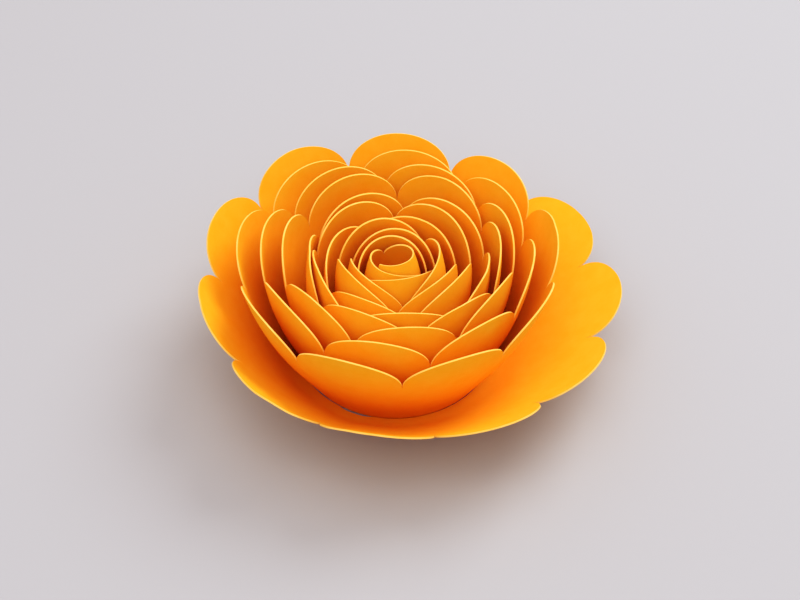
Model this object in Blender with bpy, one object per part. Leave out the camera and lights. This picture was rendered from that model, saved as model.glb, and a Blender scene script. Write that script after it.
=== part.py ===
"""A rolled paper flower: one spiral-cut strip of stiff card with a scalloped
edge, rolled up from its outer end, with the centre of the spiral folded flat
underneath as a base.  Metres, +Z up.  The underside of the base disc lies on
Z = 0 with its centre at the origin; the loose end of the outer turn is at the
back right, and the strip runs clockwise inwards, seen from above."""
import math

import bmesh
import bpy
import numpy as np

MM = 0.001

# --- driving dimensions, in millimetres and degrees -------------------------
CARD = 0.4                  # thickness of the card
BASE_DISC_RADIUS = 22.0     # centre of the cut spiral, folded under the roll
STRIP_GAP = 0.3             # glue line between the disc and the strip's edge
FOLD_SPAN = 15.0            # width of the fold that joins strip and disc
FOLD_REACH = 26.6           # how far out the fold's tongue goes
START_AZIMUTH = 49.0        # where the first petal starts, 0 is +X
LOBE_POWER = 0.88           # 1 is an ellipse, less is squarer
NOTCH = 0.725               # where the notches end, as a share of the height
LAST_NOTCH = 0.83           # the same for the notch before the last petal
STRIP_END = 0.74            # how much of the last petal's width is there
CUP_START = 0.35            # where the wall starts to curve in, the same way
OUTER_ROWS = (0.0, 0.07, 0.15, 0.6, 1.0)     # points up the outer turn
INNER_ROWS = (0.0, 0.35, 0.6, 0.8, 1.0)      # and up the turns inside it

# One line for each turn, outermost first:
# petals, width of the first and of the last of them in degrees of the roll
TURNS = (
    (11, 30.7, 38.0),
    (9, 38.6, 44.7),
    (8, 45.0, 50.3),
    (7, 52.5, 55.0),
)

# width of each petal of the inner turns, in degrees
INNER_WIDTHS = (
    57, 64, 69, 66, 68, 64,
    70, 79, 72, 84, 83,
    78, 93, 100, 101,
    105, 109, 134,
    128, 148,
    168, 197,
    248, 342,
)

# radius of the roll at its foot: (turns from the outer end, mm)
FOOT_RADIUS = (
    (0.0, 25.5), (0.15, 24.75), (0.25, 24.45), (0.42, 24.2), (0.435, 24.6),
    (0.465, 24.55), (0.48, 24.1), (0.6, 24.3), (0.75, 24.6), (1.0, 24.8),
    (1.15, 24.2), (1.25, 23.9), (1.5, 23.5), (2.0, 22.4), (3.0, 19.9),
    (4.0, 17.3), (5.0, 14.7), (6.0, 12.4), (7.0, 10.3), (8.0, 8.4),
    (9.0, 6.8), (10.0, 5.0), (11.0, 3.4), (12.0, 2.4),
)

# how far a petal's tip leans out over its foot: (petal number, degrees)
LEAN = (
    (1, 61.7), (3, 52.0), (5, 43.9), (6, 42.1), (7, 35.9), (8, 33.2),
    (10, 29.4), (11, 29.5), (12, 24.5), (14, 23.5), (17, 22.5), (20, 19.0),
    (23, 16.5), (25, 17.0), (28, 15.0), (31, 12.0), (34, 14.5), (36, 13.0),
    (38, 7.0), (39, 9.5), (41, 14.5), (43, 9.5), (46, 9.5), (50, 7.0),
    (53, 4.5), (57, 3.0), (59, 2.0),
)

# height of the strip at the tip of a petal, along the card: (petal, mm)
STRIP_HEIGHT = (
    (1, 35.2), (3, 36.3), (6, 36.9), (9, 37.9), (11, 36.3), (15, 37.8),
    (20, 35.5), (24, 36.8), (28, 35.2), (31, 36.1), (34, 35.6), (36, 34.2),
    (40, 33.1), (42, 33.9), (46, 33.1), (47, 31.9), (49, 30.6), (51, 33.0),
    (54, 31.3), (58, 30.7), (59, 32.0),
)

# how much the wall curves back in between CUP_START and the tip of a petal:
# (turns from the outer end, degrees)
CUP = (
    (0.0, 5.0), (0.5, 8.0), (1.5, 19.0), (2.5, 25.0), (3.5, 29.0),
    (5.5, 33.0), (8.0, 35.0), (12.0, 33.0),
)


# how far the lower edge reaches below the foot where the roll stands outside
# the base disc: (turns from the outer end, mm)
LOWER_EDGE = ((1.03, 0.0), (1.08, 0.5), (1.85, 0.5), (1.93, 0.0))

# how much flatter than the rest the outer turn starts off at its foot, up to
# FLARE_END of its height: (turns from the outer end, degrees)
FLARE = ((0.0, 0.0), (0.06, 28.0), (0.85, 28.0), (1.0, 0.0))
FLARE_END = 0.15


def knots(table, x):
    """Straight lines between the rows of a table of two columns."""
    xs = [row[0] for row in table]
    ys = [row[1] for row in table]
    return float(np.interp(x, xs, ys))


def petal_spans():
    """Start azimuth and width of every petal, along the strip."""
    spans = []
    azimuth = START_AZIMUTH
    for count, first, last in TURNS:
        for i in range(count):
            width = first + (last - first) * i / (count - 1)
            spans.append((azimuth, width))
            azimuth -= width
    for width in INNER_WIDTHS:
        spans.append((azimuth, float(width)))
        azimuth -= width
    return spans


def columns():
    """The strip as upright lines:
    (azimuth, foot radius, lean, cup, height at the tip, height here)."""
    spans = petal_spans()
    middles = [start - width / 2 for start, width in spans]
    rows = []
    for n, (start, width) in enumerate(spans):
        steps = max(8, int(math.ceil(width / 18.0)))
        left = len(spans) - 1 - n           # petals after this one
        reach = STRIP_END if left == 0 else 1.0
        for i in range(steps + 1):
            if i == 0 and n > 0:
                continue        # the notch is already there
            share = reach * (math.sin(math.pi * (i / steps - 0.5)) + 1.0) / 2.0
            u = 2.0 * share - 1.0
            lobe = max(0.0, 1.0 - u * u) ** (LOBE_POWER / 2.0)
            azimuth = start - width * share
            last = (left == 0 and u < 0.0) or (left == 1 and u > 0.0)
            notch = LAST_NOTCH if last else NOTCH
            number = 1 + float(np.interp(-azimuth, [-m for m in middles],
                                         range(len(middles))))
            full = knots(STRIP_HEIGHT, number)
            rows.append((azimuth, number, full,
                         full * (notch + (1 - notch) * lobe)))
    out = []
    for azimuth, number, full, height in rows:
        turn = (START_AZIMUTH - azimuth) / 360.0
        out.append((azimuth, knots(FOOT_RADIUS, turn), knots(LEAN, number),
                    knots(CUP, turn), full, height))
    return out


def lead_in():
    """The end of the strip at the fold: a low flap ahead of petal one."""
    rows = []
    for i in range(4):
        azimuth = START_AZIMUTH + FOLD_SPAN * (1.0 - i / 4.0)
        radius = FOOT_RADIUS[0][1] + 0.01 * (azimuth - START_AZIMUTH)
        full = STRIP_HEIGHT[0][1]
        height = 4.0 + (full * NOTCH - 4.0) * (i / 4.0) ** 2
        rows.append((azimuth, radius, LEAN[0][1], CUP[0][1], full, height))
    return rows


def wall_point(column, along, side):
    """A point of the wall: 'along' up the card, 'side' off its middle."""
    azimuth, radius, lean, cup, full, height = column
    t, b = math.radians(azimuth), math.radians(cup)
    # the lean is the tip's, so the foot leans out by more
    a = math.radians(lean) + b * (1.0 - CUP_START) / 2.0
    past = max(0.0, along - CUP_START * full)
    span = (1.0 - CUP_START) * full
    off = -b * past * past / (2.0 * span)
    here = a - b * past / span
    f = math.radians(knots(FLARE, (START_AZIMUTH - azimuth) / 360.0))
    end = FLARE_END * full
    low = min(max(0.0, along), end)
    off += f * (low - low * low / (2.0 * end))
    here += f * (1.0 - low / end)
    out = (radius + along * math.sin(a) + off * math.cos(a)
           + side * math.cos(here))
    up = (CARD + STRIP_GAP + along * math.cos(a) - off * math.sin(a)
          - side * math.sin(here))
    return (out * math.cos(t) * MM, out * math.sin(t) * MM, up * MM)


def strip_mesh(bm):
    """The wall of the roll as a closed solid."""
    lead = lead_in()
    rings = []
    for n, column in enumerate(lead + columns()):
        height = column[5]
        low = -knots(LOWER_EDGE, (START_AZIMUTH - column[0]) / 360.0)
        if n < len(lead):
            # the flap reaches down into the tongue of the base disc
            low = -(STRIP_GAP + CARD * 0.5) / math.cos(math.radians(column[2]))
        half = CARD / 2.0
        inner = min(1.0, max(0.0, (START_AZIMUTH - column[0]) / 72.0 - 4.0))
        levels = [low + (height - low) * (p + (q - p) * inner)
                  for p, q in zip(OUTER_ROWS, INNER_ROWS)]
        ring = [(h, -half) for h in levels] + [(h, half) for h in levels[::-1]]
        rings.append([bm.verts.new(wall_point(column, h, s))
                      for h, s in ring])
    count = 2 * len(OUTER_ROWS)
    for a, b in zip(rings, rings[1:]):
        for i in range(count):
            j = (i + 1) % count
            bm.faces.new((a[i], a[j], b[j]))
            bm.faces.new((a[i], b[j], b[i]))
    for ring in (rings[0], rings[-1]):
        for i in range(len(OUTER_ROWS) - 1):
            quad = (ring[i], ring[i + 1], ring[count - 2 - i],
                    ring[count - 1 - i])
            bm.faces.new((quad[0], quad[1], quad[2]))
            bm.faces.new((quad[0], quad[2], quad[3]))


def disc_mesh(bm):
    """The base disc, with the tongue that the strip is folded up from."""
    middle = START_AZIMUTH + FOLD_SPAN / 2.0
    half = FOLD_SPAN / 2.0 + 1.0
    outline = []
    for i in range(60):
        azimuth = middle + half + (360.0 - 2 * half) * i / 59.0
        outline.append((azimuth, BASE_DISC_RADIUS))
    for i in range(5):
        azimuth = middle - half + 2 * half * i / 4.0
        outline.append((azimuth, FOLD_REACH))
    rings = []
    for z in (0.0, CARD):
        rings.append([bm.verts.new((r * math.cos(math.radians(a)) * MM,
                                    r * math.sin(math.radians(a)) * MM,
                                    z * MM)) for a, r in outline])
    count = len(outline)
    for i in range(count):
        j = (i + 1) % count
        bm.faces.new((rings[0][i], rings[0][j], rings[1][j], rings[1][i]))
    bm.faces.new(list(reversed(rings[0])))
    bm.faces.new(rings[1])


def mesh_object(name, fill):
    mesh = bpy.data.meshes.new(name)
    bm = bmesh.new()
    fill(bm)
    bmesh.ops.recalc_face_normals(bm, faces=bm.faces[:])
    bm.to_mesh(mesh)
    bm.free()
    item = bpy.data.objects.new(name, mesh)
    bpy.context.scene.collection.objects.link(item)
    return item


def main():
    for item in list(bpy.data.objects):
        bpy.data.objects.remove(item, do_unlink=True)

    strip = mesh_object("petal_strip", strip_mesh)
    disc = mesh_object("fold_cutter", disc_mesh)
    disc.hide_render = True
    disc.display_type = "WIRE"

    join = strip.modifiers.new("fold", "BOOLEAN")
    join.operation = "UNION"
    join.solver = "EXACT"
    join.object = disc

    card = bpy.data.materials.new("orange_card")
    card.use_nodes = True
    shader = card.node_tree.nodes["Principled BSDF"]
    shader.inputs["Base Color"].default_value = (0.97, 0.42, 0.003, 1.0)
    shader.inputs["Roughness"].default_value = 0.85
    shader.inputs["Metallic"].default_value = 0.0
    strip.data.materials.append(card)
    disc.data.materials.append(card)


main()
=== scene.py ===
"""The rolled paper flower: the card strip at full detail, in a plain studio."""
import math

import bpy
import numpy as np
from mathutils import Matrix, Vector


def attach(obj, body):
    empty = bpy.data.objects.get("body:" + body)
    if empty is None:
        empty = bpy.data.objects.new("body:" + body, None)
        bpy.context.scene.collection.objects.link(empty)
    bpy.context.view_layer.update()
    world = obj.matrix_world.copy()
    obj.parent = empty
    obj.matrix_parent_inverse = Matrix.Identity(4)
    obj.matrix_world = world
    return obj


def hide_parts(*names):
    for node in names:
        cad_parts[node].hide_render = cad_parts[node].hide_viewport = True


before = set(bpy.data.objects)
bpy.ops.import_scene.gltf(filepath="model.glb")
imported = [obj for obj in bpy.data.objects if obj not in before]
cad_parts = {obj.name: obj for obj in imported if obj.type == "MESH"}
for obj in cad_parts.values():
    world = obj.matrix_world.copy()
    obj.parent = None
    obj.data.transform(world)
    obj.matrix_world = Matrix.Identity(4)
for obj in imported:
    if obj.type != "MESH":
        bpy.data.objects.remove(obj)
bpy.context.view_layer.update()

MM = 0.001

# --- the strip, in millimetres and degrees: the same design as the frame ------
CARD = 0.4
STRIP_GAP = 0.3
BASE_DISC_RADIUS = 22.0
FOLD_SPAN = 15.0
FOLD_REACH = 26.6
START_AZIMUTH = 49.0
LOBE_POWER = 0.88
NOTCH = 0.725
LAST_NOTCH = 0.83
STRIP_END = 0.74
CUP_START = 0.35

TURNS = (
    (11, 30.7, 38.0),
    (9, 38.6, 44.7),
    (8, 45.0, 50.3),
    (7, 52.5, 55.0),
)
INNER_WIDTHS = (
    57, 64, 69, 66, 68, 64,
    70, 79, 72, 84, 83,
    78, 93, 100, 101,
    105, 109, 134,
    128, 148,
    168, 197,
    248, 342,
)
FOOT_RADIUS = (
    (0.0, 25.5), (0.15, 24.75), (0.25, 24.45), (0.42, 24.2), (0.435, 24.6),
    (0.465, 24.55), (0.48, 24.1), (0.6, 24.3), (0.75, 24.6), (1.0, 24.8),
    (1.15, 24.2), (1.25, 23.9), (1.5, 23.5), (2.0, 22.4), (3.0, 19.9),
    (4.0, 17.3), (5.0, 14.7), (6.0, 12.4), (7.0, 10.3), (8.0, 8.4),
    (9.0, 6.8), (10.0, 5.0), (11.0, 3.4), (12.0, 2.4),
)
LEAN = (
    (1, 61.7), (3, 52.0), (5, 43.9), (6, 42.1), (7, 35.9), (8, 33.2),
    (10, 29.4), (11, 29.5), (12, 24.5), (14, 23.5), (17, 22.5), (20, 19.0),
    (23, 16.5), (25, 17.0), (28, 15.0), (31, 12.0), (34, 14.5), (36, 13.0),
    (38, 7.0), (39, 9.5), (41, 14.5), (43, 9.5), (46, 9.5), (50, 7.0),
    (53, 4.5), (57, 3.0), (59, 2.0),
)
STRIP_HEIGHT = (
    (1, 35.2), (3, 36.3), (6, 36.9), (9, 37.9), (11, 36.3), (15, 37.8),
    (20, 35.5), (24, 36.8), (28, 35.2), (31, 36.1), (34, 35.6), (36, 34.2),
    (40, 33.1), (42, 33.9), (46, 33.1), (47, 31.9), (49, 30.6), (51, 33.0),
    (54, 31.3), (58, 30.7), (59, 32.0),
)
CUP = (
    (0.0, 5.0), (0.5, 8.0), (1.5, 19.0), (2.5, 25.0), (3.5, 29.0),
    (5.5, 33.0), (8.0, 35.0), (12.0, 33.0),
)
LOWER_EDGE = ((1.03, 0.0), (1.08, 0.5), (1.85, 0.5), (1.93, 0.0))
FLARE = ((0.0, 0.0), (0.06, 28.0), (0.85, 28.0), (1.0, 0.0))
FLARE_END = 0.15

STEPS = 36          # columns for each petal
ROWS = 16           # rows up the wall, closer together near the foot


def knots(table, x):
    return np.interp(x, [row[0] for row in table], [row[1] for row in table])


def petal_spans():
    spans = []
    azimuth = START_AZIMUTH
    for count, first, last in TURNS:
        for i in range(count):
            width = first + (last - first) * i / (count - 1)
            spans.append((azimuth, width))
            azimuth -= width
    for width in INNER_WIDTHS:
        spans.append((azimuth, float(width)))
        azimuth -= width
    return spans


def strip_columns():
    """Azimuth, foot radius, lean, cup, height here and height at the tip."""
    spans = petal_spans()
    middles = np.array([start - width / 2 for start, width in spans])
    azimuth, height, number, full = [], [], [], []
    for i in range(12):         # the low flap that the fold starts from
        f = i / 12.0
        azimuth.append(START_AZIMUTH + FOLD_SPAN * (1.0 - f))
        height.append(4.0 + (knots(STRIP_HEIGHT, 1) * NOTCH - 4.0) * f * f)
        number.append(1.0)
        full.append(float(knots(STRIP_HEIGHT, 1)))
    for n, (start, width) in enumerate(spans):
        left = len(spans) - 1 - n
        reach = STRIP_END if left == 0 else 1.0
        for i in range(0 if n == 0 else 1, STEPS + 1):
            share = reach * (math.sin(math.pi * (i / STEPS - 0.5)) + 1.0) / 2.0
            u = 2.0 * share - 1.0
            lobe = max(0.0, 1.0 - u * u) ** (LOBE_POWER / 2.0)
            a = start - width * share
            last = (left == 0 and u < 0.0) or (left == 1 and u > 0.0)
            notch = LAST_NOTCH if last else NOTCH
            k = 1.0 + float(np.interp(-a, -middles, np.arange(len(middles))))
            azimuth.append(a)
            number.append(k)
            full.append(float(knots(STRIP_HEIGHT, k)))
            height.append(full[-1] * (notch + (1 - notch) * lobe))
    azimuth = np.array(azimuth)
    number = np.array(number)
    height = np.array(height)
    turn = (START_AZIMUTH - azimuth) / 360.0
    radius = knots(FOOT_RADIUS, np.maximum(turn, 0.0))
    radius = radius + np.maximum(-turn, 0.0) * 3.6
    return (azimuth, radius, knots(LEAN, number), knots(CUP, turn), height,
            np.array(full))


def card_strip():
    """The wall of the roll: vertices, faces, material of each face."""
    azimuth, radius, lean, cup, height, full = strip_columns()
    count = len(azimuth)
    t = np.radians(azimuth)[:, None]
    b = np.radians(cup)[:, None]
    a = np.radians(lean)[:, None] + b * (1.0 - CUP_START) / 2.0
    span = (1.0 - CUP_START) * full[:, None]
    v = np.linspace(0.0, 1.0, ROWS + 1)[None, :] ** 1.4
    low = np.where(azimuth > START_AZIMUTH,
                   -(STRIP_GAP + CARD * 0.5) / np.cos(np.radians(lean)),
                   -knots(LOWER_EDGE, (START_AZIMUTH - azimuth) / 360.0))
    along = low[:, None] + (height - low)[:, None] * v
    past = np.maximum(along - CUP_START * full[:, None], 0.0)
    off = -b * past * past / (2.0 * span)
    here = a - b * past / span
    f = np.radians(knots(FLARE, (START_AZIMUTH - azimuth) / 360.0))[:, None]
    end = FLARE_END * full[:, None]
    near = np.clip(along, 0.0, end)
    off = off + f * (near - near * near / (2.0 * end))
    here = here + f * (1.0 - near / end)
    verts = []
    for side in (-CARD / 2.0, CARD / 2.0):
        out = (radius[:, None] + along * np.sin(a) + off * np.cos(a)
               + side * np.cos(here))
        up = (CARD + STRIP_GAP + along * np.cos(a) - off * np.sin(a)
              - side * np.sin(here))
        verts.append(np.stack([out * np.cos(t), out * np.sin(t), up], -1))
    verts = np.stack(verts, 0)          # side, column, row, xyz
    n_rows = ROWS + 1

    def index(side, c, r):
        return side * count * n_rows + c * n_rows + r

    faces, mats = [], []
    for c in range(count - 1):
        for r in range(ROWS):
            faces.append((index(0, c, r), index(0, c, r + 1),
                          index(0, c + 1, r + 1), index(0, c + 1, r)))
            faces.append((index(1, c, r), index(1, c + 1, r),
                          index(1, c + 1, r + 1), index(1, c, r + 1)))
            mats += [0, 0]
        for r, flip in ((0, False), (ROWS, True)):
            quad = (index(0, c, r), index(0, c + 1, r),
                    index(1, c + 1, r), index(1, c, r))
            faces.append(quad[::-1] if flip else quad)
            mats.append(1)
    for c, flip in ((0, True), (count - 1, False)):
        for r in range(ROWS):
            quad = (index(0, c, r), index(0, c, r + 1),
                    index(1, c, r + 1), index(1, c, r))
            faces.append(quad[::-1] if flip else quad)
            mats.append(1)
    return verts.reshape(-1, 3), faces, mats


def base_disc():
    """The centre of the spiral, folded flat underneath, with its tongue."""
    middle = START_AZIMUTH + FOLD_SPAN / 2.0
    half = FOLD_SPAN / 2.0 + 1.0
    outline = []
    for i in range(181):
        outline.append((middle + half + (360.0 - 2 * half) * i / 180.0,
                        BASE_DISC_RADIUS))
    for i in range(9):
        outline.append((middle - half + 2 * half * i / 8.0, FOLD_REACH))
    verts = []
    for z in (0.0, CARD):
        verts.append((0.0, 0.0, z))
        for az, r in outline:
            verts.append((r * math.cos(math.radians(az)),
                          r * math.sin(math.radians(az)), z))
    n = len(outline)
    faces, mats = [], []
    for i in range(n):
        j = (i + 1) % n
        faces.append((0, 1 + j, 1 + i))
        faces.append((n + 1, n + 2 + i, n + 2 + j))
        faces.append((1 + i, 1 + j, n + 2 + j, n + 2 + i))
        mats += [0, 0, 1]
    return np.array(verts), faces, mats


def build(name, parts, materials):
    verts, faces, mats = [], [], []
    base = 0
    for v, f, m in parts:
        verts.append(v * MM)
        faces += [tuple(i + base for i in face) for face in f]
        mats += m
        base += len(v)
    mesh = bpy.data.meshes.new(name)
    mesh.from_pydata(np.concatenate(verts).tolist(), [], faces)
    for material in materials:
        mesh.materials.append(material)
    mesh.polygons.foreach_set("material_index", mats)
    mesh.polygons.foreach_set("use_smooth", [True] * len(mats))
    mesh.set_sharp_from_angle(angle=math.radians(40.0))
    mesh.update()
    item = bpy.data.objects.new(name, mesh)
    bpy.context.scene.collection.objects.link(item)
    return item


# --- materials -----------------------------------------------------------------
def node(tree, kind, **values):
    made = tree.nodes.new(kind)
    for key, value in values.items():
        if hasattr(made, key):
            setattr(made, key, value)
        else:
            made.inputs[key.replace("_", " ")].default_value = value
    return made


def card_material(name, dark, light, roughness, bump):
    """Uncoated dyed card: mottled pulp, fine fibres and a faint tooth."""
    material = bpy.data.materials.new(name)
    material.use_nodes = True
    tree = material.node_tree
    shader = tree.nodes["Principled BSDF"]
    link = tree.links.new
    where = node(tree, "ShaderNodeTexCoord")

    cloud = node(tree, "ShaderNodeTexNoise", Scale=260.0, Detail=5.0,
                 Roughness=0.6)
    link(where.outputs["Object"], cloud.inputs["Vector"])
    stretch = node(tree, "ShaderNodeMapping")
    stretch.inputs["Scale"].default_value = (1.0, 1.0, 0.35)
    link(where.outputs["Object"], stretch.inputs["Vector"])
    fibre = node(tree, "ShaderNodeTexNoise", Scale=5200.0, Detail=4.0,
                 Roughness=0.65)
    link(stretch.outputs["Vector"], fibre.inputs["Vector"])

    mixed = node(tree, "ShaderNodeMath", operation="MULTIPLY_ADD")
    link(fibre.outputs["Fac"], mixed.inputs[0])
    mixed.inputs[1].default_value = 0.55
    link(cloud.outputs["Fac"], mixed.inputs[2])
    ramp = node(tree, "ShaderNodeValToRGB")
    ramp.color_ramp.elements[0].position = 0.55
    ramp.color_ramp.elements[0].color = (*dark, 1.0)
    ramp.color_ramp.elements[1].position = 1.0
    ramp.color_ramp.elements[1].color = (*light, 1.0)
    link(mixed.outputs["Value"], ramp.inputs["Fac"])
    link(ramp.outputs["Color"], shader.inputs["Base Color"])

    tooth = node(tree, "ShaderNodeBump", Strength=bump)
    tooth.inputs["Distance"].default_value = 0.00004
    link(fibre.outputs["Fac"], tooth.inputs["Height"])
    link(tooth.outputs["Normal"], shader.inputs["Normal"])
    shader.inputs["Roughness"].default_value = roughness
    shader.inputs["Specular IOR Level"].default_value = 0.12
    return material


face_card = card_material("card_face", (0.98, 0.45, 0.015),
                          (1.0, 0.495, 0.032), 0.85, 0.35)
# the cut edges get a lighter yellow-orange: partly the card's paler cut fibres,
# partly a painted highlight of light catching the edges
edge_card_and_highlight = card_material("card_edge_and_highlight", (0.98, 0.53, 0.09),
                          (1.0, 0.60, 0.16), 0.9, 0.5)

flower = build("petal_strip_card", [card_strip(), base_disc()],
               [face_card, edge_card_and_highlight])
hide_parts("petal_strip")
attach(flower, "root")

# --- studio ----------------------------------------------------------------------
floor_mesh = bpy.data.meshes.new("studio_floor")
floor_mesh.from_pydata([(-2, -2, 0), (2, -2, 0), (2, 2, 0), (-2, 2, 0)], [],
                       [(0, 1, 2, 3)])
floor = bpy.data.objects.new("studio_floor", floor_mesh)
bpy.context.scene.collection.objects.link(floor)
floor.location = (0.0, 0.0, -0.0001)
paper = bpy.data.materials.new("studio_floor")
paper.use_nodes = True
paper.node_tree.nodes["Principled BSDF"].inputs["Base Color"].default_value = (
    0.428, 0.440, 0.456, 1.0)
paper.node_tree.nodes["Principled BSDF"].inputs["Roughness"].default_value = 0.9
floor_mesh.materials.append(paper)


def area_light(name, place, target, size, power, colour=(1.0, 1.0, 1.0)):
    data = bpy.data.lights.new(name, "AREA")
    data.shape = "DISK"
    data.size = size
    data.energy = power
    data.color = colour
    lamp = bpy.data.objects.new(name, data)
    bpy.context.scene.collection.objects.link(lamp)
    lamp.location = place
    aim = Vector(target) - Vector(place)
    lamp.rotation_euler = aim.to_track_quat("-Z", "Y").to_euler()
    return lamp


area_light("key", (0.46, 0.42, 0.68), (0.0, 0.0, 0.02), 0.60, 4.6)
area_light("front", (-0.10, -0.50, 0.88), (0.0, 0.0, 0.02), 0.90, 3.3)
area_light("top", (0.0, 0.0, 1.05), (0.0, 0.0, 0.02), 0.90, 1.9)

world = bpy.data.worlds.new("studio")
bpy.context.scene.world = world
world.use_nodes = True
world.node_tree.nodes["Background"].inputs["Color"].default_value = (
    0.95, 0.97, 1.0, 1.0)
world.node_tree.nodes["Background"].inputs["Strength"].default_value = 0.69

# --- camera ----------------------------------------------------------------------
ELEVATION = 46.0
DISTANCE = 472.25
LOOK_RIGHT = 1.45      # the picture's middle, measured from the foot of the roll
LOOK_UP = 11.325
cam_data = bpy.data.cameras.new("camera")
cam_data.lens = 85.0
cam_data.sensor_width = 36.0
cam_data.clip_start = 0.01
cam_data.clip_end = 10.0
camera = bpy.data.objects.new("camera", cam_data)
bpy.context.scene.collection.objects.link(camera)
e = math.radians(ELEVATION)
aim_at = Vector((LOOK_RIGHT, LOOK_UP * math.sin(e),
                 CARD + STRIP_GAP + LOOK_UP * math.cos(e))) * MM
camera.location = aim_at + Vector((0.0, -math.cos(e), math.sin(e))) * (
    DISTANCE * MM)
camera.rotation_euler = (math.radians(90.0 - ELEVATION), 0.0, 0.0)
bpy.context.scene.camera = camera

bpy.context.scene.view_settings.view_transform = "Standard"
bpy.context.scene.view_settings.look = "None"
# a camera's tone: slightly deeper shadows, and orange that reddens in the shade
# because green falls off a little sooner than red
view = bpy.context.scene.view_settings
view.use_curve_mapping = True
TONE = ((0.05, 0.028), (0.12, 0.092), (0.21, 0.185), (0.31, 0.292),
        (0.45, 0.445), (0.66, 0.665))
RED = ((0.03, 0.031), (0.08, 0.086), (0.16, 0.182), (0.28, 0.325), (0.45, 0.51),
       (0.65, 0.70))
GREEN = ((0.03, 0.020), (0.08, 0.068), (0.16, 0.155), (0.28, 0.285),
         (0.45, 0.46), (0.65, 0.655))
for channel, points in ((3, TONE), (0, RED), (1, GREEN)):
    for level, shown in points:
        view.curve_mapping.curves[channel].points.new(level, shown)
view.curve_mapping.update()
